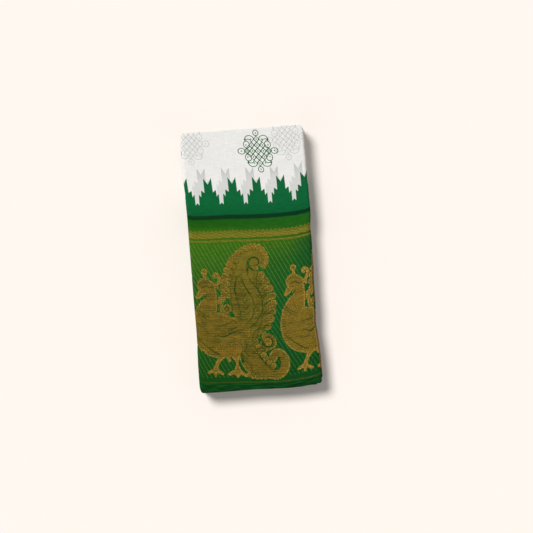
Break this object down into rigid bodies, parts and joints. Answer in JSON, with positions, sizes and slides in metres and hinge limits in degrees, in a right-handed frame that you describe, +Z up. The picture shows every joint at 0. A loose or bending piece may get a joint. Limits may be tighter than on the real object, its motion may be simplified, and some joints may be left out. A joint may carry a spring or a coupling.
{
  "type": "folded cotton saree",
  "caption": "Cotton saree folded into a flat oblong packet, with a woven green and gold border across the lower part and a plain white body above, lying face up.",
  "frame": {"origin": "on the surface that the packet lies on, under the middle of its outline", "axes": "+Z up out of the front face, +Y along the packet from the selvedges to the folded end, +X across it towards the full-height spine"},
  "size_m": [0.1402, 0.2924, 0.03],
  "materials": {
    "border_cotton": "green cotton border with dull gold zari figures, matt cloth with a low metallic glint",
    "body_cotton": "fine white handloom cotton, matt and slightly see-through"
  },
  "bodies": {
    "root": {"front_panel": "border_cotton", "front_fold": "border_cotton", "right_fold": "border_cotton", "back_panel": "border_cotton", "left_fold": "border_cotton", "under_selvedge": "border_cotton", "folded_layers": "body_cotton"}
  },
  "joints": []
}
